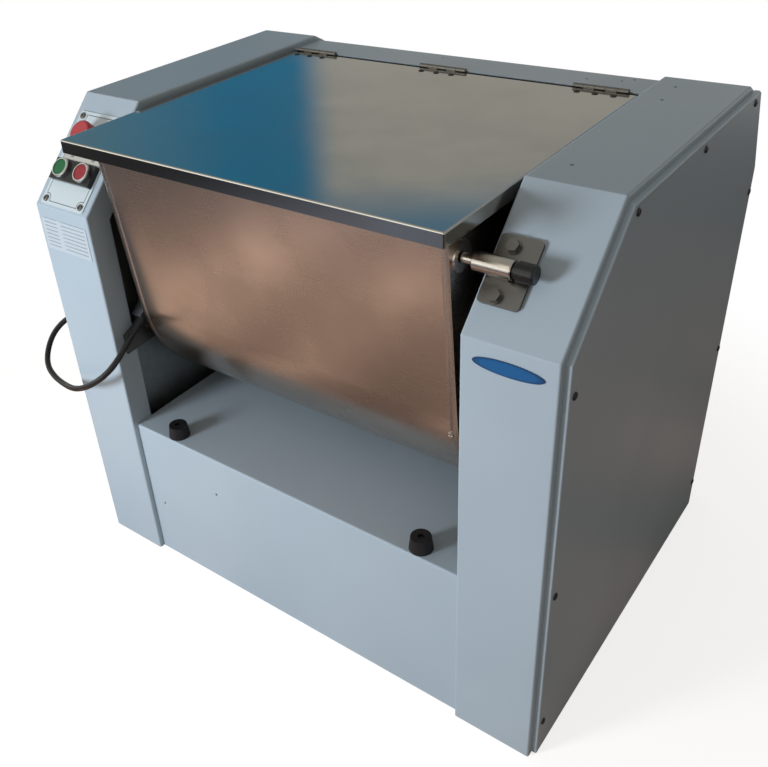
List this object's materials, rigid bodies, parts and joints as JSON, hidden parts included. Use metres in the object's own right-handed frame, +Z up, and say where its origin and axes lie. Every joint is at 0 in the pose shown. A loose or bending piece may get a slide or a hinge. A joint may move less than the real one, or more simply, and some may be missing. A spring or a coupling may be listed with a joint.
{
  "type": "horizontal dough mixer",
  "caption": "Tilting-trough dough mixer: stainless bowl with a turning agitator between two sheet-metal columns, hinged lid, push buttons and an index plunger.",
  "frame": {"origin": "middle of the footprint, on the floor", "axes": "+X along the agitator shaft towards the gear column, -Y is the front where the bowl tips out, +Z up"},
  "size_m": [0.9393, 0.6833, 0.75],
  "materials": {
    "paint_blue_grey": "semi-gloss paint",
    "polished_stainless": "mirror polished stainless sheet",
    "machined_steel": "machined",
    "plain_steel": "satin",
    "bright_steel": "bright plated",
    "dark_fasteners": "blackened",
    "spring_steel": "drawn wire",
    "bronze": "machined",
    "seal_rubber": "matt black",
    "cast_iron": "painted casting",
    "motor_paint": "painted casting",
    "black_plastic": "moulded",
    "green_plastic": "moulded",
    "red_plastic": "moulded",
    "badge_blue": "lacquered",
    "plate_silver": "anodised"
  },
  "bodies": {
    "frame": {"right_column_housing": "paint_blue_grey", "left_column_housing": "paint_blue_grey", "right_side_cover": "paint_blue_grey", "left_side_cover": "paint_blue_grey", "panel_screws": "dark_fasteners", "base_housing": "paint_blue_grey", "base_tray": "plain_steel", "motor_mount": "plain_steel", "rear_bridge": "paint_blue_grey", "chamber_back": "paint_blue_grey", "rear_cover": "paint_blue_grey", "right_bearing_plate": "plain_steel", "left_bearing_plate": "plain_steel", "bearing_hubs": "machined_steel", "ball_bearings": "machined_steel", "hub_bolts": "dark_fasteners", "motor_body": "motor_paint", "drive_belt": "seal_rubber", "hinge_fixed_leaves": "plain_steel", "hinge_pins": "bright_steel", "control_plate": "plain_steel", "button_block": "black_plastic", "button_bezels": "bright_steel", "estop_collar": "black_plastic", "contact_blocks": "black_plastic", "contactor_box": "paint_blue_grey", "oval_badge": "badge_blue", "data_plate": "plate_silver", "rubber_bumpers": "seal_rubber", "plunger_bracket": "plain_steel", "plunger_bolts": "bright_steel", "plunger_sleeve": "bright_steel", "plunger_spring": "spring_steel", "switch_bracket": "plain_steel", "position_switch": "black_plastic", "lead_strain_reliefs": "seal_rubber", "switch_lead": "seal_rubber"},
    "bowl": {"bowl_shell": "polished_stainless", "bowl_end_left": "polished_stainless", "bowl_end_right": "polished_stainless", "bowl_rings": "machined_steel", "bowl_bushes": "bronze", "shaft_seals": "seal_rubber"},
    "agitator": {"agitator_shaft": "machined_steel", "agitator_arms": "machined_steel", "drive_gear": "machined_steel"},
    "countershaft_set": {"countershaft": "machined_steel", "drive_pinion": "machined_steel", "driven_pulley": "cast_iron"},
    "motor_rotor": {"motor_shaft": "machined_steel", "motor_pulley": "cast_iron"},
    "lid": {"lid_panel": "polished_stainless", "hinge_lid_leaves": "plain_steel", "hinge_screws": "dark_fasteners"},
    "index_plunger": {"plunger_pin": "bright_steel", "plunger_knob": "bright_steel"},
    "start_cap": {"start_button": "green_plastic"},
    "stop_cap": {"stop_button": "red_plastic"},
    "estop_push": {"estop_stem": "black_plastic"},
    "estop_head": {"estop_mushroom": "red_plastic"}
  },
  "joints": [
    {"name": "bowl_tilt", "type": "hinge", "parent": "frame", "child": "bowl", "pos_m": [0, -0.07025, 0.49], "axis": [1, 0, 0], "range_deg": [0, 86.5]},
    {"name": "agitator_spin", "type": "hinge", "parent": "frame", "child": "agitator", "pos_m": [0, -0.07025, 0.49], "axis": [1, 0, 0], "continuous": true},
    {"name": "countershaft_spin", "type": "hinge", "parent": "frame", "child": "countershaft_set", "pos_m": [0.345, 0.04112, 0.37863], "axis": [1, 0, 0], "continuous": true},
    {"name": "motor_spin", "type": "hinge", "parent": "frame", "child": "motor_rotor", "pos_m": [0.33, 0.04112, 0.11], "axis": [1, 0, 0], "continuous": true},
    {"name": "lid_hinge", "type": "hinge", "parent": "frame", "child": "lid", "pos_m": [0, 0.15575, 0.7435], "axis": [-1, 0, 0], "range_deg": [0, 95]},
    {"name": "plunger_slide", "type": "slide", "parent": "frame", "child": "index_plunger", "axis": [1, 0, 0], "range_m": [0, 0.01], "stiffness_N_per_m": 1200, "springref_m": -0.004, "deforming": ["plunger_spring"]},
    {"name": "start_press", "type": "slide", "parent": "frame", "child": "start_cap", "axis": [0, 0.7071, -0.7071], "range_m": [0, 0.003], "stiffness_N_per_m": 500},
    {"name": "stop_press", "type": "slide", "parent": "frame", "child": "stop_cap", "axis": [0, 0.7071, -0.7071], "range_m": [0, 0.003], "stiffness_N_per_m": 500},
    {"name": "estop_press", "type": "slide", "parent": "frame", "child": "estop_push", "axis": [0, 0.7071, -0.7071], "range_m": [0, 0.005]},
    {"name": "estop_twist", "type": "hinge", "parent": "estop_push", "child": "estop_head", "pos_m": [-0.3525, -0.24449, 0.71322], "axis": [0, -0.7071, 0.7071], "range_deg": [-45, 0], "stiffness_Nm_per_rad": 0.05}
  ],
  "couplings": [
    {"joint": "countershaft_spin", "follows": "agitator_spin", "ratio": -4},
    {"joint": "motor_spin", "follows": "agitator_spin", "ratio": -11.429},
    {"joint": "lid_hinge", "follows": "bowl_tilt", "ratio": 1.098}
  ]
}
